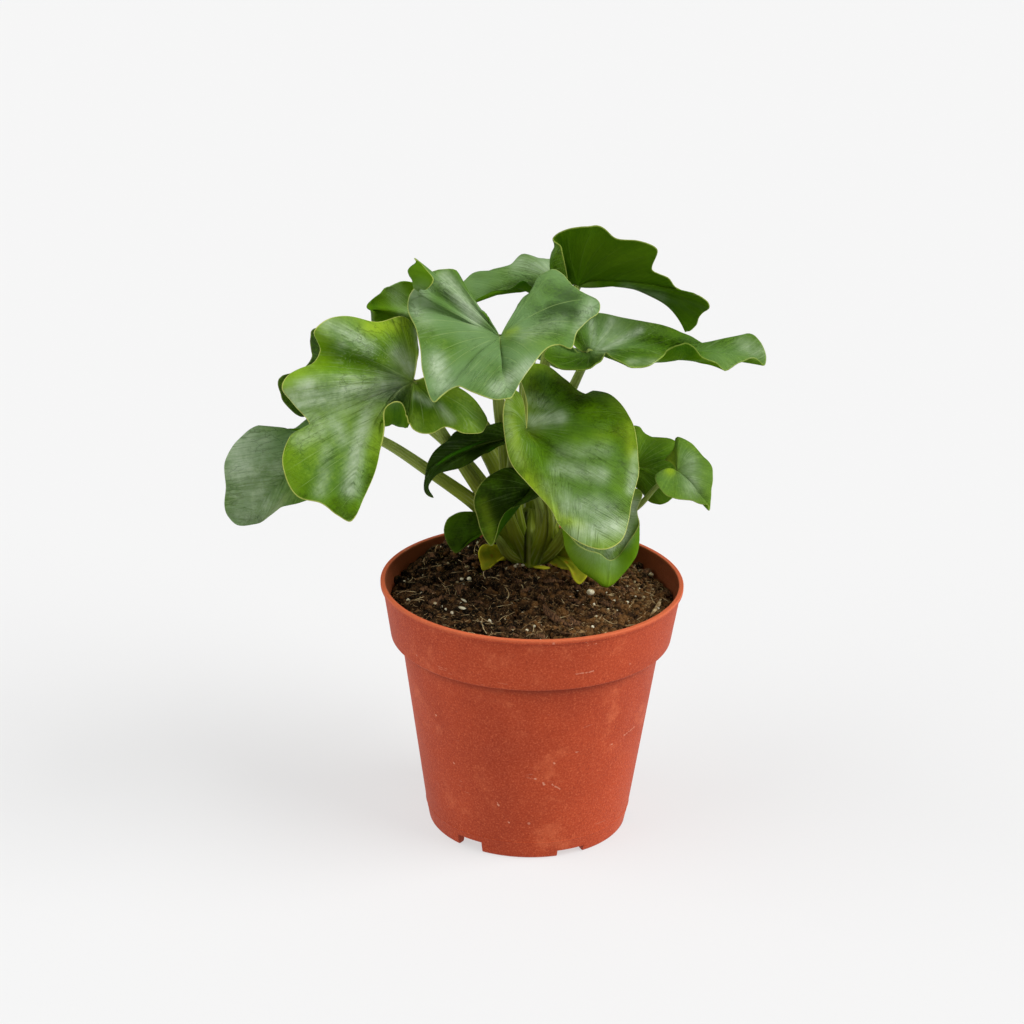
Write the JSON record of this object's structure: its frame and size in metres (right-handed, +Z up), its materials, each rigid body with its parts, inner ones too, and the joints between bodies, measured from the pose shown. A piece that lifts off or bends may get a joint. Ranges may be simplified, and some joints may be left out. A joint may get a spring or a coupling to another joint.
{
  "type": "potted atom philodendron",
  "caption": "Small philodendron with glossy, heart-shaped, waved leaves on arching stalks, growing from dark potting soil in a tapered terracotta-coloured plastic nursery pot.",
  "frame": {"origin": "centre of the pot's underside, on the plane it stands on", "axes": "+Z up the pot's axis, -Y towards the viewer of the picture, +X to the right in the picture"},
  "size_m": [0.1867, 0.1477, 0.2183],
  "materials": {
    "terracotta_plastic": "matte terracotta-red moulded plastic with a fine grain and light scuffs",
    "potting_soil": "dark moist peat with perlite, bark and fibres",
    "stalk_green": "satin olive to pale green stalk, faintly ribbed",
    "leaf_green": "glossy thick green leaf with paler veins and margin",
    "sheath_yellow": "soft yellowing leaf base"
  },
  "bodies": {
    "root": {"pot": "terracotta_plastic", "soil": "potting_soil", "crown": "stalk_green", "blade_left": "leaf_green", "stalk_left": "stalk_green", "blade_centre": "leaf_green", "stalk_centre": "stalk_green", "blade_front": "leaf_green", "stalk_front": "stalk_green", "blade_back_right": "leaf_green", "stalk_back_right": "stalk_green", "blade_right": "leaf_green", "stalk_right": "stalk_green", "blade_back": "leaf_green", "stalk_back": "stalk_green", "blade_back_left": "leaf_green", "stalk_back_left": "stalk_green", "blade_low_left": "leaf_green", "stalk_low_left": "stalk_green", "blade_left_rear": "leaf_green", "stalk_left_rear": "stalk_green", "blade_inner_left": "leaf_green", "stalk_inner_left": "stalk_green", "blade_inner_front": "leaf_green", "stalk_inner_front": "stalk_green", "blade_low_inner_left": "leaf_green", "stalk_low_inner_left": "stalk_green", "blade_low_front": "leaf_green", "stalk_low_front": "stalk_green", "blade_far_right": "leaf_green", "stalk_far_right": "stalk_green", "blade_right_low": "leaf_green", "stalk_right_low": "stalk_green", "blade_rear": "leaf_green", "stalk_rear": "stalk_green", "blade_rear_left": "leaf_green", "stalk_rear_left": "stalk_green", "blade_rear_right": "leaf_green", "stalk_rear_right": "stalk_green", "blade_rear_high": "leaf_green", "stalk_rear_high": "stalk_green", "sheath_left": "sheath_yellow", "sheath_right": "sheath_yellow"}
  },
  "joints": []
}
